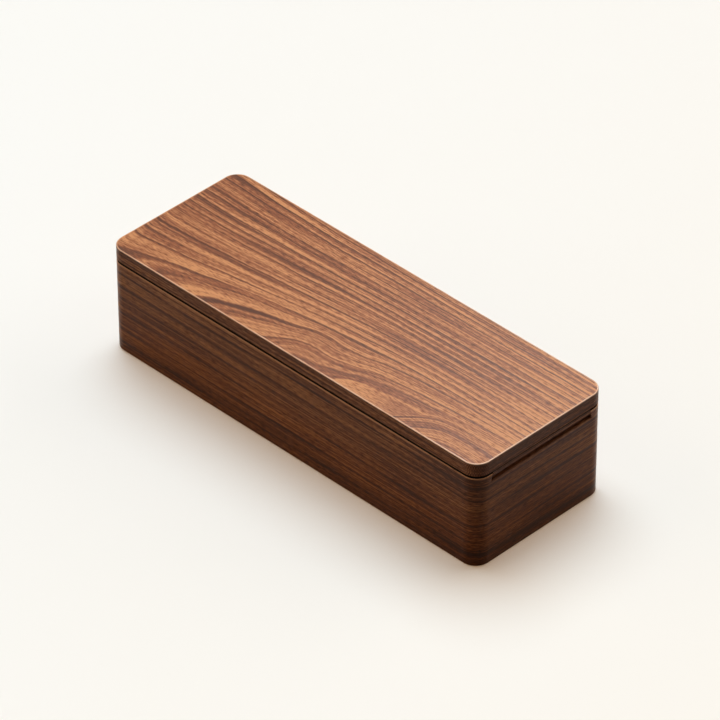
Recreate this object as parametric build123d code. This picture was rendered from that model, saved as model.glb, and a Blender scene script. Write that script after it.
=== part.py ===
"""Keepsake box in walnut, with a lid that slides out along a dovetail.

Four mitred walls with rounded outer corners stand round a bottom panel that floats in their grooves.
A blind spline crosses each mitre. The lid is a board as large as the box, rebated along its under edges
to leave a runner, and stepped in by a hair all round its foot, so that a thin shadow line runs above the
walls. The runner's sides slope outwards as they go down, under the matching slope inside the two long
walls, so the lid can slide along the box but not lift off. The wall at the open end is lower between its
corners, and the runner passes over it. A bevel under the runner's end takes a fingernail. A felt liner
lies on the bottom panel.

Millimetres. X runs along the box, and the lid slides out towards +X. Y runs across it, and Z is up.
The origin is the middle of the footprint, on the surface that the box stands on.
"""

import math
import os

from build123d import *

# Overall size
box_length = 240.0
box_width = 84.0
box_height = 59.0
corner_radius = 8.0

# Walls, mitred at the corners
wall_thickness = 10.0
foot_arris = 0.8
rim_arris = 0.5

# Lid above the rim
lid_thickness = 8.3
lid_top_arris = 0.4
lid_under_arris = 0.4

# Shadow line under the lid's edge
seam_height = 1.0
seam_depth = 1.5

# Dovetail slot below the rim, and the lid's runner that slides in it
slot_depth = 3.8
dovetail_angle = 10.0
runner_side_clearance = 0.15
runner_under_clearance = 0.4
runner_stop_clearance = 0.5

# Fingernail bevel under the runner's outer end
nail_bevel_height = 1.9
nail_bevel_depth = 2.5

# Bottom panel, its tongue, and the groove that holds it
bottom_recess = 4.0
bottom_panel_thickness = 5.5
tongue_thickness = 2.9
groove_clearance = 0.1
groove_depth = 4.0
panel_movement_gap = 0.5

# Blind splines across the mitres
spline_width = 7.0
spline_thickness = 2.0
spline_glue_room = 0.4
spline_groove_distance = 4.0
spline_slot_distance = 4.0

# Felt liner
liner_thickness = 1.5
liner_gap = 0.5
liner_corner_radius = 1.5

# Worked out from the sizes above
rim_height = box_height - lid_thickness
slot_floor = rim_height - slot_depth
runner_depth = slot_depth - runner_under_clearance
runner_foot = rim_height - runner_depth
seam_top = rim_height + seam_height
inner_length = box_length - 2 * wall_thickness
inner_width = box_width - 2 * wall_thickness
dovetail_slope = math.tan(math.radians(dovetail_angle))
groove_height = tongue_thickness + groove_clearance
groove_top = bottom_recess + groove_height
floor_height = bottom_recess + bottom_panel_thickness
spline_foot = groove_top + spline_groove_distance
spline_height = slot_floor - spline_slot_distance - spline_foot
corner_arc_inset = corner_radius * (1 - math.sqrt(0.5))
spline_inset = (wall_thickness + corner_arc_inset) / 2
corner_signs = {
    "front_left": (-1, -1),
    "front_right": (1, -1),
    "back_right": (1, 1),
    "back_left": (-1, 1),
}
from_below = (Align.CENTER, Align.CENTER, Align.MIN)


def rounded_block(foot, top, foot_radius, top_radius):
    """A slab with the box's outline from height foot to top, its lower and upper edges eased."""
    outline = RectangleRounded(box_length, box_width, corner_radius)
    block = Pos(0, 0, foot) * extrude(outline, top - foot)
    upper_edges = block.faces().sort_by(Axis.Z)[-1].edges()
    block = fillet(upper_edges, top_radius)
    lower_edges = block.faces().sort_by(Axis.Z)[0].edges()
    return fillet(lower_edges, foot_radius)


def dovetail_bar(half_width, depth, x_from, x_to):
    """A bar along X whose sides slope outwards below the rim, and stand upright just above it."""
    half_width_below = half_width + depth * dovetail_slope
    top = seam_top + lid_under_arris
    section = Polygon(
        (-half_width, top),
        (-half_width, rim_height),
        (-half_width_below, rim_height - depth),
        (half_width_below, rim_height - depth),
        (half_width, rim_height),
        (half_width, top),
        align=None,
    )
    return extrude(Plane.YZ.offset(x_from) * section, x_to - x_from)


def spline_bar(x_sign, y_sign, width, height):
    """An upright bar across one mitre, square to it and centred on it."""
    upright = Box(width, spline_thickness, height, align=from_below)
    centre_x = x_sign * (box_length / 2 - spline_inset)
    centre_y = y_sign * (box_width / 2 - spline_inset)
    return Pos(centre_x, centre_y, spline_foot) * Rot(0, 0, -45 * x_sign * y_sign) * upright


def wall_ring():
    """All four walls in one ring, with the cavity, groove, dovetail slot and spline slots cut."""
    ring = rounded_block(0, rim_height, foot_arris, rim_arris)
    ring -= Box(inner_length, inner_width, rim_height, align=from_below)
    groove = Box(
        inner_length + 2 * groove_depth,
        inner_width + 2 * groove_depth,
        groove_height,
        align=from_below,
    )
    ring -= Pos(0, 0, bottom_recess) * groove
    ring -= dovetail_bar(inner_width / 2, slot_depth, -inner_length / 2, box_length / 2)
    slot_width = spline_width + 2 * spline_glue_room
    slot_height = spline_height + spline_glue_room
    for x_sign, y_sign in corner_signs.values():
        ring -= spline_bar(x_sign, y_sign, slot_width, slot_height)
    return ring


def ease_open_rim(wall):
    """Rounds the outer top edge of the open end's wall, where the runner passes over it."""
    outer_face = wall.faces().sort_by(Axis.X)[-1]
    edges_across = outer_face.edges().filter_by(Axis.Y)
    slot_edge = edges_across.filter_by(lambda edge: abs(edge.center().Z - slot_floor) < rim_arris)
    return fillet(slot_edge, rim_arris)


def mitred_walls():
    """The ring cut into its four walls along the corner diagonals."""
    half_length = box_length / 2
    half_width = box_width / 2
    ridge = half_length - half_width
    sectors = {
        "front_wall": [(-half_length, -half_width), (half_length, -half_width), (ridge, 0), (-ridge, 0)],
        "back_wall": [(half_length, half_width), (-half_length, half_width), (-ridge, 0), (ridge, 0)],
        "closed_end_wall": [(-half_length, half_width), (-half_length, -half_width), (-ridge, 0)],
        "open_end_wall": [(half_length, -half_width), (half_length, half_width), (ridge, 0)],
    }
    ring = wall_ring()
    walls = {}
    for name, corners in sectors.items():
        sector = extrude(Polygon(*corners, align=None), rim_height)
        walls[name] = ring & sector
    walls["open_end_wall"] = ease_open_rim(walls["open_end_wall"])
    return walls


def mitre_splines():
    """One blind spline for each corner."""
    splines = {}
    for corner, (x_sign, y_sign) in corner_signs.items():
        splines[f"mitre_spline_{corner}"] = spline_bar(x_sign, y_sign, spline_width, spline_height)
    return splines


def bottom_panel():
    """A panel rebated along its upper edges, so that a thin tongue runs in the walls' groove."""
    field = Box(
        inner_length - 2 * panel_movement_gap,
        inner_width - 2 * panel_movement_gap,
        bottom_panel_thickness,
        align=from_below,
    )
    reach = groove_depth - panel_movement_gap
    tongue = Box(inner_length + 2 * reach, inner_width + 2 * reach, tongue_thickness, align=from_below)
    return Pos(0, 0, bottom_recess) * (field + tongue)


def felt_liner():
    """A sheet of felt cut to the floor of the cavity."""
    outline = RectangleRounded(
        inner_length - 2 * liner_gap, inner_width - 2 * liner_gap, liner_corner_radius
    )
    return Pos(0, 0, floor_height) * extrude(outline, liner_thickness)


def sliding_lid():
    """The board over the whole box, with the runner that is left below it between the long walls."""
    board = rounded_block(seam_top, box_height, lid_under_arris, lid_top_arris)
    foot = RectangleRounded(
        box_length - 2 * seam_depth, box_width - 2 * seam_depth, corner_radius - seam_depth
    )
    board += Pos(0, 0, rim_height) * extrude(foot, seam_height + lid_under_arris)
    stop_end = -inner_length / 2 + runner_stop_clearance
    runner = dovetail_bar(inner_width / 2 - runner_side_clearance, runner_depth, stop_end, box_length / 2)
    bevel = Polygon(
        (box_length / 2, runner_foot),
        (box_length / 2, runner_foot + nail_bevel_height),
        (box_length / 2 - nail_bevel_depth, runner_foot),
        align=None,
    )
    return board + runner - extrude(Plane.XZ * bevel, box_width, both=True)


def main():
    os.makedirs("parts", exist_ok=True)
    pieces = mitred_walls()
    pieces |= mitre_splines()
    pieces["bottom_panel"] = bottom_panel()
    pieces["felt_liner"] = felt_liner()
    pieces["sliding_lid"] = sliding_lid()
    for name, piece in pieces.items():
        export_step(piece, f"parts/{name}.step")


main()
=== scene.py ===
"""Looks of the walnut keepsake box: its wood, its felt liner and the pale studio that it stands in.

The walls, splines, bottom panel and lid are the frame's own solids, and get their wood here. The felt
liner is modelled here, where the frame has a plain one. Metres, in the frame's axes: X runs along the
box and the lid slides out towards +X, Y runs across it, and Z is up from the surface that it stands on.
The wood's patterns are worked out in millimetres, from each point's place in the box.
"""

import math

import bmesh
import bpy
from mathutils import Matrix, Vector


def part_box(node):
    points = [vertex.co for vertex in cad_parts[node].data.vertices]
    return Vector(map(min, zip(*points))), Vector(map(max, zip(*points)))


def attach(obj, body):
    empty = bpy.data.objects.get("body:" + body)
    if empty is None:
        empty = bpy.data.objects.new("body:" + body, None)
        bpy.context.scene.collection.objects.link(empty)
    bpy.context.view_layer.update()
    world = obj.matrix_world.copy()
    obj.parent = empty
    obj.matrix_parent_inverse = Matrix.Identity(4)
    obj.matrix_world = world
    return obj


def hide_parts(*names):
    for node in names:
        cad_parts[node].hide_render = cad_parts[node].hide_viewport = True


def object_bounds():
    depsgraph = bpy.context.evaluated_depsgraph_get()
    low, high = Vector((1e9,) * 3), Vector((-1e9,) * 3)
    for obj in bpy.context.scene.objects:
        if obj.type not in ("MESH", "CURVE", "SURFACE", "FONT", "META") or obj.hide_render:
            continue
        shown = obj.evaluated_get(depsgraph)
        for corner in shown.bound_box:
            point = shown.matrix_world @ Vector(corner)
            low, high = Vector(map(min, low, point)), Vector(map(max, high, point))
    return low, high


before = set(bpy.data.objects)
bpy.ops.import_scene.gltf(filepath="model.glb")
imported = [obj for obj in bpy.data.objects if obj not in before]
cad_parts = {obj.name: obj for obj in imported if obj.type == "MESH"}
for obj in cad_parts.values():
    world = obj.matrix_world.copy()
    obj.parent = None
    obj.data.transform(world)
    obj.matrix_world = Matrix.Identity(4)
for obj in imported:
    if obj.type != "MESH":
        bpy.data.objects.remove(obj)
cad_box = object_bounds()

bl_info = {
    "name": "Keepsake Box",
    "version": (1, 0, 0),
    "blender": (4, 5, 0),
    "location": "View3D > Sidebar > Keepsake Box",
    "description": "Finishes a walnut box with a sliding lid, lays its felt liner and sets up a studio",
    "category": "Object",
}

MM = 0.001

# Settings that many nodes share
add = {"operation": "ADD"}
subtract = {"operation": "SUBTRACT"}
multiply = {"operation": "MULTIPLY"}
multiply_add = {"operation": "MULTIPLY_ADD"}
absolute = {"operation": "ABSOLUTE"}
maximum = {"operation": "MAXIMUM"}
minimum = {"operation": "MINIMUM"}
length = {"operation": "LENGTH"}
smooth = {"interpolation_type": "SMOOTHSTEP"}
of_colours = {"data_type": "RGBA"}

# The box as the frame has it, in millimetres
half_length = cad_box[1].x / MM
half_width = cad_box[1].y / MM
lid_top = cad_box[1].z / MM
rim_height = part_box("front_wall")[1].z / MM
corner_radius = 8.0
seam_height = 1.0
seam_depth = 1.5
slot_depth = 3.8
wall_thickness = 10.0

# How far from its arris the wood is rubbed pale and painted with a highlight, and how far from the open end
# the lid's sides darken, partly end grain and partly painted shade
lid_wear_highlight_width = 0.8
rim_wear_highlight_width = 0.75
end_shade_reach = 6.0

# The board of the lid, fitted to the grain in the photo. The tree's centre ran along it, a little in front
# of it and below it, and sloped.
pith_y = -46.2
pith_below_lid = 18.3
pith_slope = -0.143
pith_bend = -0.000273
ring_spread = (0.00116, -0.0000062)
ring_drift = (-0.0675, 0.00039)

# Growth rings of the lid: millimetres from the tree's centre, measured in the photo, and strength
lid_rings = [
    (2.0, 0.1), (8.0, 0.1), (14.0, 0.6), (17.6, 0.2), (22.1, 0.7), (29.6, 0.8),
    (35.5, 0.75), (39.4, 0.8), (42.4, 0.4), (47.0, 0.8), (49.2, 0.5), (51.6, 0.4),
    (55.6, 0.8), (59.0, 0.6), (61.8, 0.6), (65.9, 1.0), (70.4, 0.6), (73.0, 0.6),
    (76.4, 0.6), (80.0, 1.0), (83.7, 0.8), (87.0, 0.7), (91.0, 0.6), (95.0, 0.6),
]

# How a ring darkens on its way outwards to the next: place in the ring, and tone
ring_profile = [(0.0, 0.25), (0.07, 0.72), (0.25, 0.76), (0.5, 0.58), (0.8, 0.42), (0.92, 0.12), (1.0, 0.0)]

# How far the rings wander off that course: place along the box, and millimetres outwards
ring_sway = [
    (-120.0, 3.7), (-106.0, 1.8), (-85.0, 0.9), (-45.0, 0.6),
    (0.0, 1.0), (40.0, 1.2), (80.0, 0.7), (120.0, 0.3),
]
sway_reach = (45.0, 75.0)

# How far the innermost rings wander besides
ring_wander = [
    (-90.0, 0.0), (-50.0, -0.6), (-15.0, -0.4), (0.0, 0.8), (20.0, -1.2),
    (36.0, 0.6), (52.0, 1.9), (75.0, 3.1), (115.0, 4.4),
]
wander_reach = (31.0, 36.0)

# The innermost rings end in a nose at the front edge
ring_nose_start = 64.4
ring_nose_height = 14.5
ring_nose_slope = -0.57
ring_nose_lean = 1.0
ring_nose_round = 9.0

# Darker streaks of the walls: height in millimetres, half the width, and how dark the streak is
wall_streaks = [
    (6.0, 1.6, 0.5), (14.0, 0.9, 0.4), (22.5, 1.0, 0.6), (30.0, 0.9, 0.3),
    (37.0, 1.0, 0.5), (45.0, 0.9, 1.0), (49.0, 0.7, 0.3),
]


def linear(hex_colour):
    """Scene-linear red, green and blue of an sRGB hex colour."""
    channels = [int(hex_colour[place : place + 2], 16) / 255 for place in (1, 3, 5)]
    return tuple(c / 12.92 if c <= 0.04045 else ((c + 0.055) / 1.055) ** 2.4 for c in channels)


def new_material(name):
    """An empty node material, to build on."""
    material = bpy.data.materials.new(name)
    material.use_nodes = True
    material.node_tree.nodes.clear()
    return material


def add_node(tree, kind, settings=None, inputs=None):
    """Adds a node, sets its settings, and links or fills its inputs."""
    node = tree.nodes.new(kind)
    for setting, value in (settings or {}).items():
        setattr(node, setting, value)
    for place, value in (inputs or {}).items():
        socket = node.inputs[place]
        if isinstance(value, bpy.types.NodeSocket):
            tree.links.new(value, socket)
        elif socket.type == "RGBA":
            socket.default_value = (*value[:3], 1.0)
        else:
            socket.default_value = value
    return node


def set_stops(ramp, stops):
    """Gives a colour ramp its stops, each a place from 0 to 1 and a linear colour."""
    elements = ramp.color_ramp.elements
    while len(elements) > 1:
        elements.remove(elements[-1])
    for number, (place, colour) in enumerate(stops):
        element = elements[0] if number == 0 else elements.new(place)
        element.position = place
        element.color = (*colour, 1.0)


def set_curve(curve, points):
    """Gives a float curve its points, each a place and a value from 0 to 1."""
    drawn = curve.mapping.curves[0].points
    drawn[0].location = points[0]
    drawn[1].location = points[-1]
    for point in points[1:-1]:
        drawn.new(*point)
    curve.mapping.update()


def spaced(*colours):
    """Stops for a colour ramp, spaced evenly from 0 to 1."""
    return [(number / (len(colours) - 1), colour) for number, colour in enumerate(colours)]


def greys(*stops):
    """Stops for a colour ramp that gives plain numbers, each a place from 0 to 1 and its number."""
    return [(place, (number,) * 3) for place, number in stops]


def add_up(tree, start, parts):
    """Sums patterns. Each part is an output, its middle value and its weight."""
    total = start
    for output, middle, weight in parts:
        inputs = {0: output, 1: weight, 2: -middle * weight}
        centred = add_node(tree, "ShaderNodeMath", multiply_add, inputs)
        total = add_node(tree, "ShaderNodeMath", add, {0: total, 1: centred.outputs[0]})
        total = total.outputs[0]
    return total


def place_in_millimetres(tree):
    """A point's place in the box in millimetres: the vector, and its x, y and z."""
    place = add_node(tree, "ShaderNodeTexCoord").outputs["Object"]
    step = {"operation": "SCALE"}
    scaled = add_node(tree, "ShaderNodeVectorMath", step, {"Vector": place, "Scale": 1 / MM}).outputs[0]
    return scaled, add_node(tree, "ShaderNodeSeparateXYZ", inputs={"Vector": scaled}).outputs


def drawn_out(tree, place, sizes, detail, roughness=0.5):
    """A cloudy pattern whose grains have these sizes along x, y and z, in the place's own unit."""
    shrink = tuple(1 / size for size in sizes)
    vector = add_node(tree, "ShaderNodeVectorMath", multiply, {0: place, 1: shrink}).outputs[0]
    inputs = {"Vector": vector, "Scale": 1.0, "Detail": detail, "Roughness": roughness}
    return add_node(tree, "ShaderNodeTexNoise", inputs=inputs).outputs["Fac"]


def curve_along(tree, x, level, slope, bend):
    """level + slope * x + bend * x * x."""
    steepness = add_node(tree, "ShaderNodeMath", multiply_add, {0: x, 1: bend, 2: slope}).outputs[0]
    return add_node(tree, "ShaderNodeMath", multiply_add, {0: x, 1: steepness, 2: level}).outputs[0]


def ring_distance(tree, x, y, z):
    """How far a point of the lid is from the tree's centre, as its growth rings count it."""
    below = curve_along(tree, x, pith_below_lid - lid_top, pith_slope, pith_bend)
    height = add_node(tree, "ShaderNodeMath", add, {0: below, 1: z}).outputs[0]
    sideways = add_node(tree, "ShaderNodeMath", subtract, {0: y, 1: pith_y}).outputs[0]
    across = add_node(tree, "ShaderNodeCombineXYZ", inputs={"Y": sideways, "Z": height}).outputs[0]
    radius = add_node(tree, "ShaderNodeVectorMath", length, {"Vector": across}).outputs["Value"]
    spread = curve_along(tree, x, 1.0, *ring_spread)
    drift = curve_along(tree, x, 0.0, *ring_drift)
    distance = add_node(tree, "ShaderNodeMath", multiply_add, {0: radius, 1: spread, 2: drift}).outputs[0]
    distance = wandered(tree, x, distance, ring_sway, sway_reach)
    distance = wandered(tree, x, distance, ring_wander, wander_reach)
    return round_the_nose(tree, x, y, distance)


def wandered(tree, x, distance, wander, reach):
    """The ring distance with the rings moved outwards along the box, less and less within reach."""
    most = max(abs(shift) for _, shift in wander)
    inputs = {"Value": x, "From Min": -half_length, "From Max": half_length}
    along = add_node(tree, "ShaderNodeMapRange", inputs=inputs).outputs[0]
    curve = add_node(tree, "ShaderNodeFloatCurve", inputs={"Value": along})
    set_curve(curve, [(0.5 + at / (2 * half_length), 0.5 + shift / (2 * most)) for at, shift in wander])
    inputs = {"Value": distance, "From Min": reach[0], "From Max": reach[1]}
    inputs |= {"To Min": 1.0, "To Max": 0.0}
    weight = add_node(tree, "ShaderNodeMapRange", smooth, inputs).outputs[0]
    inputs = {"Value": curve.outputs[0], "To Min": most, "To Max": -most}
    shift = add_node(tree, "ShaderNodeMapRange", inputs=inputs).outputs[0]
    return add_node(tree, "ShaderNodeMath", multiply_add, {0: shift, 1: weight, 2: distance}).outputs[0]


def round_the_nose(tree, x, y, distance):
    """The ring distance with the innermost rings turned down to the front edge in a blunt nose."""
    drop = ring_nose_slope * (half_length - ring_nose_start)
    back = add_node(tree, "ShaderNodeMath", add, {0: y, 1: half_width}).outputs[0]
    along = add_node(tree, "ShaderNodeMath", multiply_add, {0: back, 1: -ring_nose_lean, 2: x}).outputs[0]
    inputs = {"Value": along, "From Min": ring_nose_start, "From Max": half_length}
    inputs |= {"To Min": ring_nose_height, "To Max": ring_nose_height + drop}
    nose = add_node(tree, "ShaderNodeMapRange", inputs=inputs).outputs[0]
    step = {"operation": "SMOOTH_MAX"}
    return add_node(tree, "ShaderNodeMath", step, {0: distance, 1: nose, 2: ring_nose_round}).outputs[0]


def ring_tone(tree, distance, rings):
    """Light just outside each ring's edge and darker towards the next, about 0, and never past 0.5."""
    first, last = rings[0][0], rings[-1][0]
    count = len(rings) - 1
    inputs = {"Value": distance, "From Min": first, "From Max": last}
    fraction = add_node(tree, "ShaderNodeMapRange", inputs=inputs).outputs[0]
    counted = add_node(tree, "ShaderNodeValToRGB", inputs={"Fac": fraction})
    stops = []
    for number, (at, strength) in enumerate(rings):
        stops.append(((at - first) / (last - first), (number / count, strength, 0)))
    set_stops(counted, stops)
    split = add_node(tree, "ShaderNodeSeparateColor", inputs={"Color": counted.outputs["Color"]}).outputs
    number = add_node(tree, "ShaderNodeMath", multiply, {0: split[0], 1: count}).outputs[0]
    through = add_node(tree, "ShaderNodeMath", {"operation": "FRACT"}, {0: number}).outputs[0]
    profile = add_node(tree, "ShaderNodeFloatCurve", inputs={"Value": through})
    set_curve(profile, ring_profile)
    centred = add_node(tree, "ShaderNodeMath", subtract, {0: profile.outputs[0], 1: 0.5}).outputs[0]
    return add_node(tree, "ShaderNodeMath", multiply, {0: centred, 1: split[1]}).outputs[0]


def depth_below_outline(tree, place):
    """How far a point is inside the box's rounded outline, seen from above, in millimetres."""
    centres = (half_length - corner_radius, half_width - corner_radius, 0.0)
    folded = add_node(tree, "ShaderNodeVectorMath", absolute, {0: place}).outputs[0]
    flat = add_node(tree, "ShaderNodeVectorMath", multiply, {0: folded, 1: (1, 1, 0)}).outputs[0]
    past = add_node(tree, "ShaderNodeVectorMath", subtract, {0: flat, 1: centres}).outputs[0]
    rounded = add_node(tree, "ShaderNodeVectorMath", maximum, {0: past, 1: (0, 0, 0)}).outputs[0]
    reach = add_node(tree, "ShaderNodeVectorMath", length, {0: rounded}).outputs["Value"]
    past_x, past_y, _ = add_node(tree, "ShaderNodeSeparateXYZ", inputs={"Vector": past}).outputs
    nearer = add_node(tree, "ShaderNodeMath", maximum, {0: past_x, 1: past_y}).outputs[0]
    inside = add_node(tree, "ShaderNodeMath", minimum, {0: nearer, 1: 0.0}).outputs[0]
    outline = add_node(tree, "ShaderNodeMath", add, {0: reach, 1: inside}).outputs[0]
    return add_node(tree, "ShaderNodeMath", subtract, {0: corner_radius, 1: outline}).outputs[0]


def round_the_box(tree, x, y, z, depth):
    """The grain's own space on the box's sides: along the side and round its corners, up, and inwards."""
    along = add_node(tree, "ShaderNodeMath", add, {0: x, 1: y}).outputs[0]
    return add_node(tree, "ShaderNodeCombineXYZ", inputs={"X": along, "Y": z, "Z": depth}).outputs[0]


def worn_and_highlit_edge(tree, place, z, depth, edge_height, width):
    """1 on the arris that runs round the box at this height, and 0 this far from it, in patches: where wear
    pales it and a highlight is painted on it.
    """
    above = add_node(tree, "ShaderNodeMath", subtract, {0: z, 1: edge_height}).outputs[0]
    apart = add_node(tree, "ShaderNodeMath", absolute, {0: above}).outputs[0]
    away = add_node(tree, "ShaderNodeMath", add, {0: apart, 1: depth}).outputs[0]
    inputs = {"Value": away, "From Min": 0.5 * width, "From Max": width, "To Min": 1.0, "To Max": 0.0}
    arris = add_node(tree, "ShaderNodeMapRange", smooth, inputs).outputs[0]
    patches = drawn_out(tree, place, (9.0, 9.0, 9.0), 2.0)
    inputs = {"Value": patches, "From Min": 0.3, "From Max": 0.6, "To Min": 0.6, "To Max": 1.0}
    rubbed = add_node(tree, "ShaderNodeMapRange", inputs=inputs).outputs[0]
    return add_node(tree, "ShaderNodeMath", multiply, {0: arris, 1: rubbed}).outputs[0]


def painted_sill_shade(tree, x, z, depth):
    """Where shade is painted: 1 on the open end's sill, in the gap under the lid's runner, and 0 elsewhere.
    """
    above = add_node(tree, "ShaderNodeMath", subtract, {0: z, 1: rim_height - slot_depth}).outputs[0]
    apart = add_node(tree, "ShaderNodeMath", absolute, {0: above}).outputs[0]
    inputs = {"Value": apart, "From Min": 0.2, "From Max": 0.5, "To Min": 1.0, "To Max": 0.0}
    level = add_node(tree, "ShaderNodeMapRange", smooth, inputs).outputs[0]
    inputs = {0: x, 1: half_length - wall_thickness}
    in_wall = add_node(tree, "ShaderNodeMath", subtract, inputs).outputs[0]
    nearer = add_node(tree, "ShaderNodeMath", minimum, {0: in_wall, 1: depth}).outputs[0]
    inputs = {"Value": nearer, "From Min": 0.1, "From Max": 0.4}
    at_end = add_node(tree, "ShaderNodeMapRange", inputs=inputs).outputs[0]
    return add_node(tree, "ShaderNodeMath", multiply, {0: level, 1: at_end}).outputs[0]


def painted_shade_in_seam(tree, z, depth):
    """Where the shadow line's shade is painted: 1 in the shadow line between the walls' rim and the lid,
    and 0 outside it.
    """
    seam_top = rim_height + seam_height
    inputs = {"Value": z, "From Min": rim_height - 0.25, "From Max": rim_height - 0.15}
    over_rim = add_node(tree, "ShaderNodeMapRange", inputs=inputs).outputs[0]
    inputs = {"Value": z, "From Min": seam_top + 0.2, "From Max": seam_top + 0.4}
    inputs |= {"To Min": 1.0, "To Max": 0.0}
    under_lid = add_node(tree, "ShaderNodeMapRange", inputs=inputs).outputs[0]
    inputs = {"Value": z, "From Min": rim_height, "From Max": seam_top, "To Min": 0.25, "To Max": -0.1}
    clear_of_arris = add_node(tree, "ShaderNodeMapRange", inputs=inputs).outputs[0]
    step = {"operation": "GREATER_THAN"}
    inside = add_node(tree, "ShaderNodeMath", step, {0: depth, 1: clear_of_arris}).outputs[0]
    inputs = {"Value": depth, "From Min": seam_depth - 0.3, "From Max": seam_depth + 0.3}
    inputs |= {"To Min": 1.0, "To Max": 0.0}
    near_edge = add_node(tree, "ShaderNodeMapRange", inputs=inputs).outputs[0]
    height = add_node(tree, "ShaderNodeMath", multiply, {0: over_rim, 1: under_lid}).outputs[0]
    width = add_node(tree, "ShaderNodeMath", multiply, {0: inside, 1: near_edge}).outputs[0]
    return add_node(tree, "ShaderNodeMath", multiply, {0: height, 1: width}).outputs[0]


def wood_tone(tree, place, grain, figure, grain_strength, stretch=1.0):
    """Figure, streaks, patches and pores of walnut, added up to a tone about 0.5, and the pores alone.

    grain runs with the growth rings and place doesn't. Both run along the grain in x, and the streaks are
    this much stretched along it.
    """
    streaks = drawn_out(tree, grain, (160.0 * stretch, 1.6, 4.0), 1.5)
    fine_streaks = drawn_out(tree, grain, (60.0 * stretch, 0.7, 1.5), 1.0)
    patches = drawn_out(tree, grain, (50.0 * stretch, 6.0, 12.0), 1.5)
    # Walnut's pores are 0.2 mm wide, drawn at 0.4 mm so that they show.
    dashes = drawn_out(tree, place, (3.6, 0.42, 0.5), 1.0)
    inputs = {"Value": dashes, "From Min": 0.52, "From Max": 0.72}
    pores = add_node(tree, "ShaderNodeMapRange", smooth, inputs).outputs[0]
    tone = add_up(
        tree,
        0.5,
        [
            (figure, 0.0, 1.0),
            (streaks, 0.5, 0.85 * grain_strength),
            (fine_streaks, 0.5, 1.1 * grain_strength),
            (patches, 0.5, 0.35 * grain_strength),
            (dashes, 0.5, -0.9 * grain_strength),
            (pores, 0.2, -0.15 * grain_strength),
        ],
    )
    return tone, pores


def oiled_wood(tree, tone, pores, worn_and_highlit, painted_shade, colour, roughness, specular):
    """A satin oiled surface in this colour, duller and a little sunk at the pores, polished along its
    rubbed arrises.

    Where shade is painted, it takes a dark colour and is dull.
    """
    dulled = add_up(
        tree, roughness, [(pores, 0.0, 0.15), (tone, 0.5, 0.1), (worn_and_highlit, 0.0, -0.08), (painted_shade, 0.0, 0.4)]
    )
    mirrored = add_up(tree, specular, [(worn_and_highlit, 0.0, 0.3), (painted_shade, 0.0, -1.0)])
    # The dark colour of the painted shade
    inputs = {0: painted_shade, 6: colour, 7: linear("#1f1812")}
    colour = add_node(tree, "ShaderNodeMix", of_colours, inputs).outputs[2]
    height = add_up(tree, 0.5, [(pores, 0.0, -0.6), (tone, 0.5, 0.3)])
    inputs = {"Height": height, "Strength": 0.4, "Distance": 0.08 * MM}
    bump = add_node(tree, "ShaderNodeBump", inputs=inputs).outputs["Normal"]
    surface = add_node(
        tree,
        "ShaderNodeBsdfPrincipled",
        inputs={
            "Base Color": colour,
            "Roughness": dulled,
            "Specular IOR Level": mirrored,
            "Sheen Weight": 0.4,
            "Sheen Roughness": 0.3,
            "Sheen Tint": linear("#ffe7d3"),
            "Normal": bump,
        },
    )
    add_node(tree, "ShaderNodeOutputMaterial", inputs={"Surface": surface.outputs["BSDF"]})


def side_colour_with_painted_light(tree, tone, z, settings):
    """The colour of the box's sides, with painted light: painted shade makes it redder and darker near the
    foot, and a painted reflection makes it greyer under the lid.
    """
    wood = add_node(tree, "ShaderNodeValToRGB", inputs={"Fac": tone})
    set_stops(wood, spaced(settings.wall_dark, settings.wall_middle, settings.wall_light))
    inputs = {"Value": z, "From Min": 0.0, "From Max": lid_top}
    up = add_node(tree, "ShaderNodeMapRange", inputs=inputs).outputs[0]
    tint = add_node(tree, "ShaderNodeValToRGB", inputs={"Fac": up})
    # Tints of painted light: shade at the foot and above it, and a reflection under the lid
    tints = [(0.0, settings.wall_foot_shade), (0.3, settings.wall_low_shade)]
    tints += [(0.6, (1, 1, 1)), (0.85, settings.wall_rim_reflection)]
    set_stops(tint, tints)
    tinted = of_colours | {"blend_type": "MULTIPLY"}
    inputs = {0: 1.0, 6: wood.outputs["Color"], 7: tint.outputs["Color"]}
    return add_node(tree, "ShaderNodeMix", tinted, inputs).outputs[2]


def lid_figure(tree, place, x, distance):
    """The lid's growth rings as a tone about 0, in patches, and clearer away from the closed end."""
    fading = drawn_out(tree, place, (45.0, 8.0, 12.0), 1.0)
    inputs = {"Value": fading, "From Min": 0.3, "From Max": 0.65, "To Min": 1.2, "To Max": 1.75}
    contrast = add_node(tree, "ShaderNodeMapRange", smooth, inputs).outputs[0]
    inputs = {"Value": x, "From Min": -100.0, "From Max": -10.0, "To Min": 0.75, "To Max": 1.0}
    clearer = add_node(tree, "ShaderNodeMapRange", inputs=inputs).outputs[0]
    rings = ring_tone(tree, distance, lid_rings)
    rings = add_node(tree, "ShaderNodeMath", multiply, {0: rings, 1: contrast}).outputs[0]
    return add_node(tree, "ShaderNodeMath", multiply, {0: rings, 1: clearer}).outputs[0]


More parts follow.
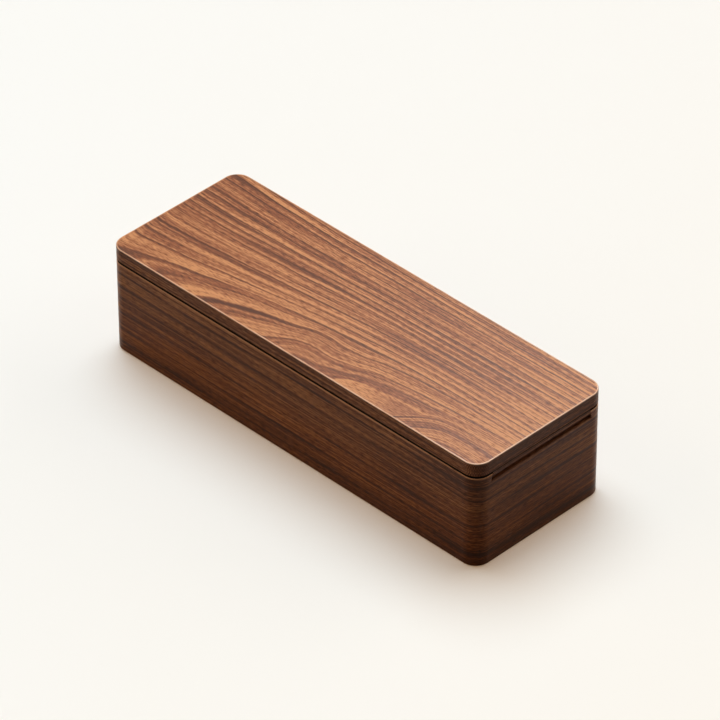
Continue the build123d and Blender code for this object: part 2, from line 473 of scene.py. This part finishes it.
def lid_tones_and_painted_sheen(tree, x, distance):
    """Tones to add up on the lid's top: paler at the open end, where a sheen is painted, and a darker band
    among its rings.
    """
    inputs = {"Value": x, "From Min": -half_length, "From Max": half_length}
    along = add_node(tree, "ShaderNodeMapRange", inputs=inputs).outputs[0]
    paler = add_node(tree, "ShaderNodeValToRGB", inputs={"Fac": along})
    # Paler towards the open end: a painted sheen
    set_stops(paler, greys((0.0, 0.5), (0.15, 0.52), (0.5, 0.53), (0.7, 0.49), (0.85, 0.53), (1.0, 0.65)))
    inputs = {"Value": distance, "From Min": 0.0, "From Max": 100.0}
    fraction = add_node(tree, "ShaderNodeMapRange", inputs=inputs).outputs[0]
    band = add_node(tree, "ShaderNodeValToRGB", inputs={"Fac": fraction})
    set_stops(band, greys((0.5, 0.0), (0.6, 1.0), (0.8, 1.0), (1.0, 0.4)))
    inputs = {"Value": x, "From Min": -80.0, "From Max": 30.0, "To Min": -0.15, "To Max": -0.03}
    strength = add_node(tree, "ShaderNodeMapRange", inputs=inputs).outputs[0]
    inputs = {0: band.outputs["Color"], 1: strength}
    band_tone = add_node(tree, "ShaderNodeMath", multiply, inputs).outputs[0]
    return [(paler.outputs["Color"], 0.5, 1.0), (band_tone, 0.0, 1.0)]


def lid_walnut(settings):
    """Walnut board, plain-sawn, planed and oiled.

    The eye sees warm mid-brown wood with the tips of wide growth rings at the front edge, closer and
    straighter rings towards the back, and fine dark pores along the grain. The sides are painted darker
    as shade, with level lines, and darker still at the open end, partly from end grain and partly painted
    shade. The upper edge is paler from wear and a painted highlight.
    """
    material = new_material("walnut, plain-sawn and oiled")
    tree = material.node_tree
    place, (x, y, z) = place_in_millimetres(tree)
    waves = drawn_out(tree, place, (90.0, 26.0, 26.0), 1.0)
    ripples = drawn_out(tree, place, (30.0, 8.0, 8.0), 1.0)
    distance = add_up(tree, ring_distance(tree, x, y, z), [(waves, 0.5, 1.6), (ripples, 0.5, 1.1)])
    depth = depth_below_outline(tree, place)
    inputs = {"Value": depth, "From Min": 0.01, "From Max": 0.12}
    above = add_node(tree, "ShaderNodeMapRange", smooth, inputs).outputs[0]
    rings = lid_figure(tree, place, x, distance)
    figure = add_node(tree, "ShaderNodeMath", multiply, {0: rings, 1: above}).outputs[0]
    on_top = add_node(tree, "ShaderNodeCombineXYZ", inputs={"X": x, "Y": distance, "Z": z}).outputs[0]
    on_side = round_the_box(tree, x, y, z, depth)
    vectors = {"data_type": "VECTOR"}
    grain = add_node(tree, "ShaderNodeMix", vectors, {0: above, 4: on_side, 5: on_top}).outputs[1]
    pore_place = add_node(tree, "ShaderNodeMix", vectors, {0: above, 4: on_side, 5: place}).outputs[1]
    tone, pores = wood_tone(tree, pore_place, grain, figure, settings.lid_grain)

    # The lid's upper arris: paler from wear, and paler still as a painted highlight
    worn_and_highlit = worn_and_highlit_edge(tree, place, z, depth, lid_top, lid_wear_highlight_width)
    tone_on_top = add_up(tree, tone, lid_tones_and_painted_sheen(tree, x, distance) + [(worn_and_highlit, 0.0, 0.9)])
    top = add_node(tree, "ShaderNodeValToRGB", inputs={"Fac": tone_on_top})
    set_stops(top, spaced(settings.lid_dark, settings.lid_middle, settings.lid_light))
    inputs = {0: worn_and_highlit, 6: top.outputs["Color"], 7: settings.lid_worn_and_highlit}
    top_colour = add_node(tree, "ShaderNodeMix", of_colours, inputs).outputs[2]
    # The lid's sides take the walls' darker colours as painted shade, more of it at the open end, partly
    # end grain
    inputs = {"Value": x, "From Min": half_length - end_shade_reach, "From Max": half_length}
    inputs |= {"To Min": -0.14, "To Max": -0.45}
    darker = add_node(tree, "ShaderNodeMapRange", smooth, inputs).outputs[0]
    sides = side_colour_with_painted_light(tree, add_up(tree, tone, [(darker, 0.0, 1.0)]), z, settings)
    inputs = {0: above, 6: sides, 7: top_colour}
    colour = add_node(tree, "ShaderNodeMix", of_colours, inputs).outputs[2]
    # Painted shade in the shadow line between the lid and the walls' rim
    painted_shade = painted_shade_in_seam(tree, z, depth)
    oiled_wood(tree, tone, pores, worn_and_highlit, painted_shade, colour, settings.lid_roughness, settings.lid_specular)
    return material


def wall_walnut(settings):
    """Walnut sides cut one after another from one board, quarter-sawn and oiled.

    The eye sees dark brown wood with low, level streaks that carry on round the corners. Painted shade
    makes it redder and darker near the foot, a painted reflection greyer under the lid, and the edge under
    the lid is paler from wear and a painted highlight.
    """
    material = new_material("walnut, quarter-sawn and oiled")
    tree = material.node_tree
    place, (x, y, z) = place_in_millimetres(tree)
    depth = depth_below_outline(tree, place)
    grain = round_the_box(tree, x, y, z, depth)
    wander = drawn_out(tree, grain, (90.0, 20.0, 20.0), 1.0)
    level = add_up(tree, z, [(wander, 0.5, 5.0)])
    inputs = {"Value": level, "From Min": 0.0, "From Max": lid_top}
    fraction = add_node(tree, "ShaderNodeMapRange", inputs=inputs).outputs[0]
    streak = add_node(tree, "ShaderNodeValToRGB", inputs={"Fac": fraction})
    stops = []
    for at, half, strength in wall_streaks:
        stops += [((at - half) / lid_top, 0.0), (at / lid_top, strength), ((at + half) / lid_top, 0.0)]
    set_stops(streak, greys(*stops))
    fading = drawn_out(tree, grain, (34.0, 5.0, 12.0), 2.0)
    inputs = {"Value": fading, "From Min": 0.35, "From Max": 0.6, "To Min": 0.4, "To Max": 1.0}
    contrast = add_node(tree, "ShaderNodeMapRange", smooth, inputs).outputs[0]
    inputs = {0: streak.outputs["Color"], 1: contrast}
    streaks = add_node(tree, "ShaderNodeMath", multiply, inputs).outputs[0]
    inputs = {"Value": x, "From Min": 30.0, "From Max": 115.0, "To Min": 0.06, "To Max": -0.15}
    darker = add_node(tree, "ShaderNodeMapRange", smooth, inputs).outputs[0]
    clouds = drawn_out(tree, grain, (45.0, 8.0, 14.0), 1.0)
    figure = add_up(tree, darker, [(streaks, 0.0, -1.1), (clouds, 0.5, 0.7)])
    # The rim's arris: paler from wear, and paler still as a painted highlight
    worn_and_highlit = worn_and_highlit_edge(tree, place, z, depth, rim_height, rim_wear_highlight_width)
    tone, pores = wood_tone(tree, grain, grain, figure, settings.wall_grain, 1.5)
    tone = add_up(tree, tone, [(worn_and_highlit, 0.0, 1.3)])
    colour = side_colour_with_painted_light(tree, tone, z, settings)
    # Painted shade in the shadow line between the walls' rim and the lid
    painted_shade = painted_shade_in_seam(tree, z, depth)
    # The sill in the gap under the lid's runner gets weaker painted shade too
    painted_shade = add_up(tree, painted_shade, [(painted_sill_shade(tree, x, z, depth), 0.0, 0.35)])
    oiled_wood(tree, tone, pores, worn_and_highlit, painted_shade, colour, settings.wall_roughness, settings.wall_specular)
    return material


def panel_walnut(settings):
    """Walnut panel, plain-sawn and oiled, with straight grain along the box."""
    material = new_material("walnut, panel, oiled")
    tree = material.node_tree
    place, (x, y, z) = place_in_millimetres(tree)
    wander = drawn_out(tree, place, (80.0, 20.0, 20.0), 1.0)
    across = add_up(tree, y, [(wander, 0.5, 12.0)])
    grain = add_node(tree, "ShaderNodeCombineXYZ", inputs={"X": x, "Y": across, "Z": z}).outputs[0]
    rings = drawn_out(tree, grain, (200.0, 4.0, 8.0), 2.0)
    figure = add_up(tree, 0.0, [(rings, 0.5, 1.2)])
    tone, pores = wood_tone(tree, place, grain, figure, settings.wall_grain)
    colour = add_node(tree, "ShaderNodeValToRGB", inputs={"Fac": tone})
    set_stops(colour, spaced(settings.wall_dark, settings.wall_middle, settings.wall_light))
    colour = colour.outputs["Color"]
    oiled_wood(tree, tone, pores, 0.0, 0.0, colour, settings.wall_roughness, settings.wall_specular)
    return material


def spline_walnut(settings):
    """Walnut splines, sawn and left raw: paler than the oiled wood, and dull."""
    material = new_material("walnut, sawn and raw")
    tree = material.node_tree
    _, (x, y, z) = place_in_millimetres(tree)
    across = add_node(tree, "ShaderNodeMath", subtract, {0: x, 1: y}).outputs[0]
    grain = add_node(tree, "ShaderNodeCombineXYZ", inputs={"X": across, "Y": z, "Z": y}).outputs[0]
    rings = drawn_out(tree, grain, (60.0, 2.0, 4.0), 2.0)
    figure = add_up(tree, 0.0, [(rings, 0.5, 1.0)])
    tone, pores = wood_tone(tree, grain, grain, figure, settings.wall_grain)
    colour = add_node(tree, "ShaderNodeValToRGB", inputs={"Fac": tone})
    set_stops(colour, spaced(settings.lid_middle, settings.lid_light))
    oiled_wood(tree, tone, pores, 0.0, 0.0, colour.outputs["Color"], 0.7, 0.1)
    return material


def wool_felt(settings):
    """Wool felt, pressed: short matted fibres with no weave, dark, with paler ones among them."""
    material = new_material("wool felt, pressed")
    tree = material.node_tree
    place, _ = place_in_millimetres(tree)
    # The fibres are 0.03 mm thick, and are drawn many times thicker so that they show.
    inputs = {"Vector": place, "Scale": 1.2, "Detail": 4.0, "Roughness": 0.7, "Distortion": 1.5}
    fibres = add_node(tree, "ShaderNodeTexNoise", inputs=inputs).outputs["Fac"]
    clouds = drawn_out(tree, place, (14.0, 14.0, 14.0), 2.0)
    tone = add_up(tree, 0.5, [(fibres, 0.5, 1.4), (clouds, 0.5, 0.5)])
    colour = add_node(tree, "ShaderNodeValToRGB", inputs={"Fac": tone})
    set_stops(colour, spaced(settings.dark, settings.light))
    inputs = {"Height": fibres, "Strength": 0.7, "Distance": 0.3 * MM}
    bump = add_node(tree, "ShaderNodeBump", inputs=inputs).outputs["Normal"]
    surface = add_node(
        tree,
        "ShaderNodeBsdfPrincipled",
        inputs={
            "Base Color": colour.outputs["Color"],
            "Roughness": 0.95,
            "Specular IOR Level": 0.1,
            "Sheen Weight": 0.3,
            "Sheen Roughness": 0.6,
            "Normal": bump,
        },
    )
    add_node(tree, "ShaderNodeOutputMaterial", inputs={"Surface": surface.outputs["BSDF"]})
    return material


def studio_paper(settings):
    """Seamless paper: near-white and matt, a little warmer towards the camera's right, with soft clouds.

    Seen by the camera, or in a gloss, it is pale and keeps the box's shadow. The light that it gives
    back to the box is that of a greyer sheet, so that the box's sides stay in shade.
    """
    material = new_material("paper, seamless, white")
    tree = material.node_tree
    place = add_node(tree, "ShaderNodeTexCoord").outputs["Object"]
    warmer = direction(settings.azimuth, 0) * 0.5 + direction(settings.azimuth + math.radians(90), 0)
    step = {"operation": "DOT_PRODUCT"}
    inputs = {0: place, 1: warmer}
    along = add_node(tree, "ShaderNodeVectorMath", step, inputs).outputs["Value"]
    inputs = {"Value": along, "From Min": -0.3, "From Max": 0.3}
    warmth = add_node(tree, "ShaderNodeMapRange", inputs=inputs).outputs[0]
    clouds = drawn_out(tree, place, (0.35, 0.35, 0.35), 2.0)
    tone = add_up(tree, warmth, [(clouds, 0.5, 0.4)])
    colour = add_node(tree, "ShaderNodeValToRGB", inputs={"Fac": tone})
    set_stops(colour, spaced(settings.floor_cool, settings.floor_warm))
    seen = add_node(tree, "ShaderNodeBsdfDiffuse", inputs={"Color": colour.outputs["Color"]}).outputs[0]
    inputs = {"Color": settings.floor_glow, "Strength": 1.0}
    glow = add_node(tree, "ShaderNodeEmission", inputs=inputs).outputs[0]
    lifted = add_node(tree, "ShaderNodeMixShader", inputs={0: settings.floor_lift, 1: seen, 2: glow})
    grey = add_node(tree, "ShaderNodeBsdfDiffuse", inputs={"Color": settings.floor_bounce}).outputs[0]
    inputs = {0: looked_at(tree), 1: grey, 2: lifted.outputs[0]}
    surface = add_node(tree, "ShaderNodeMixShader", inputs=inputs).outputs[0]
    add_node(tree, "ShaderNodeOutputMaterial", inputs={"Surface": surface})
    return material


def looked_at(tree):
    """1 where the studio itself is seen, also in a gloss or through glass, and 0 where it only lights."""
    path = add_node(tree, "ShaderNodeLightPath").outputs
    inputs = {0: path["Is Camera Ray"], 1: path["Is Glossy Ray"]}
    seen = add_node(tree, "ShaderNodeMath", maximum, inputs).outputs[0]
    inputs = {0: seen, 1: path["Is Transmission Ray"]}
    return add_node(tree, "ShaderNodeMath", maximum, inputs).outputs[0]


def dress(names, material):
    """Gives the frame's pieces this material in all their slots."""
    for name in names:
        for material_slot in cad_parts[name].material_slots:
            material_slot.material = material


def model_felt_liner(settings):
    """The liner: a sheet cut to the frame's liner, its corners and upper edge rounded."""
    low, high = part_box("felt_liner")
    size = high - low
    bpy.ops.object.select_all(action="DESELECT")
    bpy.ops.mesh.primitive_cube_add(size=1.0, location=(low + high) / 2)
    liner = bpy.context.object
    liner.name = "felt_sheet"
    liner.scale = size
    bpy.ops.object.transform_apply(location=True, rotation=False, scale=True)

    bpy.ops.object.mode_set(mode="EDIT")
    select_edges(liner, lambda a, b: abs(a.z - b.z) > size.z / 2)
    bpy.ops.mesh.bevel(offset=settings.corner_radius, segments=5, affect="EDGES")
    select_edges(liner, lambda a, b: min(a.z, b.z) > high.z - size.z / 4)
    bpy.ops.mesh.bevel(offset=settings.edge_round, segments=3, affect="EDGES")
    bpy.ops.object.mode_set(mode="OBJECT")

    remesh = liner.modifiers.new("even faces", "REMESH")
    remesh.mode = "VOXEL"
    remesh.voxel_size = settings.face_size
    bpy.ops.object.modifier_apply(modifier=remesh.name)
    return liner


def select_edges(piece, wanted):
    """In edit mode, selects only the edges whose two ends fit."""
    bpy.ops.mesh.select_mode(type="EDGE")
    bpy.ops.mesh.select_all(action="DESELECT")
    mesh = bmesh.from_edit_mesh(piece.data)
    for edge in mesh.edges:
        edge.select_set(wanted(edge.verts[0].co, edge.verts[1].co))
    bmesh.update_edit_mesh(piece.data)


def aim(eye, target, roll):
    """The turn and place of something that looks from eye to target with its head turned by roll."""
    back = (eye - target).normalized()
    right = Vector((0, 0, 1)).cross(back).normalized()
    up = back.cross(right)
    tilt = Matrix((right, up, back)).transposed() @ Matrix.Rotation(roll, 3, "Z")
    return Matrix.LocRotScale(eye, tilt.to_quaternion(), None)


def direction(azimuth, elevation):
    """From the box towards a place this far round it, from the front, and this far up."""
    return Vector(
        (
            math.sin(azimuth) * math.cos(elevation),
            -math.cos(azimuth) * math.cos(elevation),
            math.sin(elevation),
        )
    )


class KeepsakeWood(bpy.types.PropertyGroup):
    """Colours and gloss of the walnut."""

    lid_dark: bpy.props.FloatVectorProperty(
        name="Lid, Dark",
        description="Darkest lines of the lid's grain",
        subtype="COLOR",
        default=linear("#5c311b"),
    )
    lid_middle: bpy.props.FloatVectorProperty(
        name="Lid, Middle",
        description="The lid's colour overall",
        subtype="COLOR",
        default=linear("#965432"),
    )
    lid_light: bpy.props.FloatVectorProperty(
        name="Lid, Light",
        description="Palest bands of the lid's grain",
        subtype="COLOR",
        default=linear("#cf8a59"),
    )
    # Colour of the lid's upper edge: wear, and a painted highlight
    lid_worn_and_highlit: bpy.props.FloatVectorProperty(
        name="Lid, Worn",
        description="Upper edge of the lid, where hands have worn it pale",
        subtype="COLOR",
        default=linear("#dba47b"),
    )
    lid_grain: bpy.props.FloatProperty(
        name="Lid Grain",
        description="How strongly the lid's grain and pores show",
        default=1.35,
    )
    lid_roughness: bpy.props.FloatProperty(
        name="Lid Roughness",
        description="How dull the lid's oil is",
        subtype="FACTOR",
        default=0.4,
    )
    lid_specular: bpy.props.FloatProperty(
        name="Lid Specular",
        description="How much the lid mirrors",
        subtype="FACTOR",
        default=0.085,
    )
    # The walls' colours are darker than the lid's, partly a darker board and partly painted shade
    wall_dark: bpy.props.FloatVectorProperty(
        name="Walls, Dark",
        description="Darkest streaks of the walls",
        subtype="COLOR",
        default=linear("#502b18"),
    )
    wall_middle: bpy.props.FloatVectorProperty(
        name="Walls, Middle",
        description="The walls' colour overall",
        subtype="COLOR",
        default=linear("#8b5535"),
    )
    wall_light: bpy.props.FloatVectorProperty(
        name="Walls, Light",
        description="Palest streaks of the walls",
        subtype="COLOR",
        default=linear("#c98b5e"),
    )
    # Painted shade at the walls' foot
    wall_foot_shade: bpy.props.FloatVectorProperty(
        name="Walls, Foot",
        description="Tint of the walls at the foot",
        subtype="COLOR",
        default=(0.5, 0.38, 0.27),
    )
    # Painted shade above the walls' foot, which makes them redder
    wall_low_shade: bpy.props.FloatVectorProperty(
        name="Walls, Low",
        description="Tint of the walls above the foot",
        subtype="COLOR",
        default=(0.98, 0.84, 0.66),
    )
    # Painted reflection under the lid, which makes the walls greyer
    wall_rim_reflection: bpy.props.FloatVectorProperty(
        name="Walls, Rim",
        description="Tint of the walls under the lid",
        subtype="COLOR",
        default=(1.1, 1.16, 1.22),
    )
    wall_grain: bpy.props.FloatProperty(
        name="Wall Grain",
        description="How strongly the walls' grain and pores show",
        default=1.25,
    )
    wall_roughness: bpy.props.FloatProperty(
        name="Wall Roughness",
        description="How dull the walls' oil is",
        subtype="FACTOR",
        default=0.38,
    )
    wall_specular: bpy.props.FloatProperty(
        name="Wall Specular",
        description="How much the walls mirror",
        subtype="FACTOR",
        default=0.085,
    )


class KeepsakeFelt(bpy.types.PropertyGroup):
    """Cut and colour of the felt liner."""

    corner_radius: bpy.props.FloatProperty(
        name="Corner Radius",
        description="Round of the liner's corners",
        unit="LENGTH",
        default=1.5 * MM,
    )
    edge_round: bpy.props.FloatProperty(
        name="Edge Round",
        description="Round of the liner's upper edge",
        unit="LENGTH",
        default=0.5 * MM,
    )
    face_size: bpy.props.FloatProperty(
        name="Face Size",
        description="Size of the faces that the liner is made of",
        unit="LENGTH",
        default=0.75 * MM,
    )
    dark: bpy.props.FloatVectorProperty(
        name="Dark",
        description="Felt between the fibres",
        subtype="COLOR",
        default=linear("#22201f"),
    )
    light: bpy.props.FloatVectorProperty(
        name="Light",
        description="Palest fibres",
        subtype="COLOR",
        default=linear("#5a5551"),
    )


class KeepsakeStudio(bpy.types.PropertyGroup):
    """Camera, floor and lamps."""

    azimuth: bpy.props.FloatProperty(
        name="Azimuth",
        description="How far round the box the camera is",
        subtype="ANGLE",
        default=math.radians(45.01),
    )
    elevation: bpy.props.FloatProperty(
        name="Elevation",
        description="How far up the camera is",
        subtype="ANGLE",
        default=math.radians(37.52),
    )
    roll: bpy.props.FloatProperty(
        name="Roll",
        description="Tilt of the camera's head",
        subtype="ANGLE",
        default=math.radians(-0.11),
    )
    distance: bpy.props.FloatProperty(
        name="Distance",
        description="From the camera to the box",
        unit="LENGTH",
        default=2.637,
    )
    lens: bpy.props.FloatProperty(
        name="Lens",
        description="Focal length on a 36 mm wide picture, in millimetres",
        default=282.1,
    )
    move_right: bpy.props.FloatProperty(
        name="Move Right",
        description="How far the camera stands to the right of its aim",
        unit="LENGTH",
        default=3.0 * MM,
    )
    move_up: bpy.props.FloatProperty(
        name="Move Up",
        description="How far the camera stands above its aim",
        unit="LENGTH",
        default=25.7 * MM,
    )
    floor_warm: bpy.props.FloatVectorProperty(
        name="Floor, Warm",
        description="Warmer parts of the floor",
        subtype="COLOR",
        default=linear("#fdfaf7"),
    )
    floor_cool: bpy.props.FloatVectorProperty(
        name="Floor, Cool",
        description="Cooler parts of the floor",
        subtype="COLOR",
        default=linear("#fdfeff"),
    )
    floor_glow: bpy.props.FloatVectorProperty(
        name="Floor Glow",
        description="Colour that lifts the floor's shadows",
        subtype="COLOR",
        default=linear("#ffcb95"),
    )
    floor_bounce: bpy.props.FloatVectorProperty(
        name="Floor Bounce",
        description="Light that the floor gives back",
        subtype="COLOR",
        default=linear("#544a42"),
    )
    floor_lift: bpy.props.FloatProperty(
        name="Floor Lift",
        description="How much the floor's shadows are lifted",
        subtype="FACTOR",
        default=0.2,
    )
    key_strength: bpy.props.FloatProperty(
        name="Key",
        description="Light from above and behind",
        default=3.12,
    )
    key_colour: bpy.props.FloatVectorProperty(
        name="Key Colour",
        description="Colour of the light from above",
        subtype="COLOR",
        default=linear("#e6f7ff"),
    )
    key_azimuth: bpy.props.FloatProperty(
        name="Key Azimuth",
        description="How far round the box the key light is",
        subtype="ANGLE",
        default=math.radians(232),
    )
    key_elevation: bpy.props.FloatProperty(
        name="Key Elevation",
        description="How far up the key light is",
        subtype="ANGLE",
        default=math.radians(66),
    )
    key_spread: bpy.props.FloatProperty(
        name="Key Spread",
        description="How wide the key light is",
        subtype="ANGLE",
        default=math.radians(52),
    )
    left_strength: bpy.props.FloatProperty(
        name="Left Lamp",
        description="Low light from the camera's left",
        default=0.6,
    )
    right_strength: bpy.props.FloatProperty(
        name="Right Lamp",
        description="Low light from the camera's right, behind the box",
        default=0.82,
    )
    right_colour: bpy.props.FloatVectorProperty(
        name="Right Colour",
        description="Colour of the low light on the right",
        subtype="COLOR",
        default=linear("#fdf4e8"),
    )
    low_elevation: bpy.props.FloatProperty(
        name="Side Lamps' Elevation",
        description="How far up the two side lamps are",
        subtype="ANGLE",
        default=math.radians(22),
    )
    low_spread: bpy.props.FloatProperty(
        name="Side Lamps' Spread",
        description="How wide the two side lamps are",
        subtype="ANGLE",
        default=math.radians(60),
    )
    gleam_power: bpy.props.FloatProperty(
        name="Gleam Lamp",
        description="Power of the lamp that the lid mirrors, in watts",
        default=1.8,
    )
    gleam_distance: bpy.props.FloatProperty(
        name="Gleam Distance",
        description="From the lid to the lamp that it mirrors",
        unit="LENGTH",
        default=0.55,
    )
    ambient: bpy.props.FloatProperty(
        name="Ambient",
        description="Light from all round",
        default=0.1,
    )
    ambient_colour: bpy.props.FloatVectorProperty(
        name="Ambient Colour",
        description="Colour of the light from all round",
        subtype="COLOR",
        default=linear("#ffe3bf"),
    )


class KEEPSAKE_OT_set_studio(bpy.types.Operator):
    """Set the camera, the floor, the lamps and the light all round"""

    bl_idname = "keepsake.set_studio"
    bl_label = "Set Studio"

    def execute(self, context):
        settings = context.scene.keepsake_studio
        set_camera(settings)
        lay_floor(settings)
        hang_lamps(settings)
        light_world(settings)
        context.scene.view_settings.view_transform = "Standard"
        return {"FINISHED"}


def set_camera(settings):
    """The camera of the photograph, for a square picture."""
    camera = bpy.data.objects.new("camera", bpy.data.cameras.new("camera"))
    bpy.context.scene.collection.objects.link(camera)
    camera.data.sensor_width = 36.0
    camera.data.lens = settings.lens
    camera.data.clip_start = 0.1
    camera.data.clip_end = 50.0
    eye = direction(settings.azimuth, settings.elevation) * settings.distance
    turn = aim(eye, Vector(), settings.roll)
    camera.matrix_world = turn @ Matrix.Translation((settings.move_right, settings.move_up, 0))
    bpy.context.scene.camera = camera


def lay_floor(settings):
    """A round floor, far wider than any view of the box."""
    bpy.ops.object.select_all(action="DESELECT")
    bpy.ops.mesh.primitive_circle_add(vertices=96, radius=6.0, fill_type="NGON")
    floor = bpy.context.object
    floor.name = "floor"
    floor.data.materials.append(studio_paper(settings))


def hang_lamps(settings):
    """A wide soft key from above and behind, two low side lamps, and a gleam on the lid's open end."""
    left_azimuth = settings.azimuth - math.radians(90)
    right_azimuth = settings.azimuth + math.radians(115)
    lamps = {
        "key": (
            settings.key_strength,
            settings.key_colour,
            settings.key_spread,
            settings.key_azimuth,
            settings.key_elevation,
        ),
        "left": (
            settings.left_strength,
            settings.ambient_colour,
            settings.low_spread,
            left_azimuth,
            settings.low_elevation,
        ),
        "right": (
            settings.right_strength,
            settings.right_colour,
            settings.low_spread,
            right_azimuth,
            settings.low_elevation,
        ),
    }
    for name, (strength, colour, spread, azimuth, elevation) in lamps.items():
        lamp = bpy.data.lights.new(name, "SUN")
        lamp.energy = strength
        lamp.angle = spread
        lamp.color = colour
        holder = bpy.data.objects.new(name, lamp)
        holder.matrix_world = aim(direction(azimuth, elevation), Vector(), 0)
        bpy.context.scene.collection.objects.link(holder)

    gleam = bpy.data.lights.new("gleam", "AREA")
    gleam.shape = "DISK"
    gleam.size = 0.25
    gleam.energy = settings.gleam_power
    holder = bpy.data.objects.new("gleam", gleam)
    past_the_end = 60.0
    shone_on = Vector((half_length + past_the_end, 0, lid_top)) * MM
    mirrored = direction(settings.azimuth + math.pi, settings.elevation)
    holder.matrix_world = aim(shone_on + mirrored * settings.gleam_distance, shone_on, 0)
    holder.visible_diffuse = False
    bpy.context.scene.collection.objects.link(holder)


def light_world(settings):
    """White where it is seen or mirrored, and low light on the box."""
    world = bpy.data.worlds.new("studio")
    bpy.context.scene.world = world
    world.use_nodes = True
    tree = world.node_tree
    tree.nodes.clear()
    inputs = {"Color": settings.ambient_colour, "Strength": settings.ambient}
    dim = add_node(tree, "ShaderNodeBackground", inputs=inputs).outputs[0]
    inputs = {"Color": settings.floor_cool, "Strength": 1.0}
    white = add_node(tree, "ShaderNodeBackground", inputs=inputs).outputs[0]
    inputs = {0: looked_at(tree), 1: dim, 2: white}
    mixed = add_node(tree, "ShaderNodeMixShader", inputs=inputs).outputs[0]
    add_node(tree, "ShaderNodeOutputWorld", inputs={"Surface": mixed})


class KEEPSAKE_OT_finish_walls(bpy.types.Operator):
    """Give the four walls their walnut"""

    bl_idname = "keepsake.finish_walls"
    bl_label = "Finish Walls"

    def execute(self, context):
        names = ["front_wall", "back_wall", "closed_end_wall", "open_end_wall"]
        dress(names, wall_walnut(context.scene.keepsake_wood))
        return {"FINISHED"}


class KEEPSAKE_OT_finish_splines(bpy.types.Operator):
    """Give the splines in the mitres their raw walnut"""

    bl_idname = "keepsake.finish_splines"
    bl_label = "Finish Splines"

    def execute(self, context):
        names = [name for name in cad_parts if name.startswith("mitre_spline")]
        dress(names, spline_walnut(context.scene.keepsake_wood))
        return {"FINISHED"}


class KEEPSAKE_OT_finish_panel(bpy.types.Operator):
    """Give the bottom panel its walnut"""

    bl_idname = "keepsake.finish_panel"
    bl_label = "Finish Bottom Panel"

    def execute(self, context):
        dress(["bottom_panel"], panel_walnut(context.scene.keepsake_wood))
        return {"FINISHED"}


class KEEPSAKE_OT_finish_lid(bpy.types.Operator):
    """Give the lid its walnut"""

    bl_idname = "keepsake.finish_lid"
    bl_label = "Finish Lid"

    def execute(self, context):
        dress(["sliding_lid"], lid_walnut(context.scene.keepsake_wood))
        return {"FINISHED"}


class KEEPSAKE_OT_lay_liner(bpy.types.Operator):
    """Model the felt liner and lay it on the bottom panel"""

    bl_idname = "keepsake.lay_liner"
    bl_label = "Lay Felt Liner"

    def execute(self, context):
        settings = context.scene.keepsake_felt
        liner = model_felt_liner(settings)
        liner.data.materials.append(wool_felt(settings))
        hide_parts("felt_liner")
        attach(liner, "box")
        return {"FINISHED"}


class KEEPSAKE_PT_panel(bpy.types.Panel):
    """The box's pieces, in the sidebar"""

    bl_idname = "KEEPSAKE_PT_panel"
    bl_label = "Keepsake Box"
    bl_space_type = "VIEW_3D"
    bl_region_type = "UI"
    bl_category = "Keepsake Box"

    def draw(self, context):
        for operator in operators:
            self.layout.operator(operator.bl_idname)


operators = [
    KEEPSAKE_OT_set_studio,
    KEEPSAKE_OT_finish_walls,
    KEEPSAKE_OT_finish_splines,
    KEEPSAKE_OT_finish_panel,
    KEEPSAKE_OT_finish_lid,
    KEEPSAKE_OT_lay_liner,
]
settings_groups = {
    "keepsake_wood": KeepsakeWood,
    "keepsake_felt": KeepsakeFelt,
    "keepsake_studio": KeepsakeStudio,
}


def register():
    for name, group in settings_groups.items():
        bpy.utils.register_class(group)
        setattr(bpy.types.Scene, name, bpy.props.PointerProperty(type=group))
    for operator in operators:
        bpy.utils.register_class(operator)
    bpy.utils.register_class(KEEPSAKE_PT_panel)


def unregister():
    bpy.utils.unregister_class(KEEPSAKE_PT_panel)
    for operator in reversed(operators):
        bpy.utils.unregister_class(operator)
    for name, group in reversed(settings_groups.items()):
        delattr(bpy.types.Scene, name)
        bpy.utils.unregister_class(group)


def main():
    """Makes every piece and the studio."""
    register()
    bpy.ops.keepsake.set_studio()
    bpy.ops.keepsake.finish_walls()
    bpy.ops.keepsake.finish_splines()
    bpy.ops.keepsake.finish_panel()
    bpy.ops.keepsake.finish_lid()
    bpy.ops.keepsake.lay_liner()


if __name__ == "__main__":
    main()
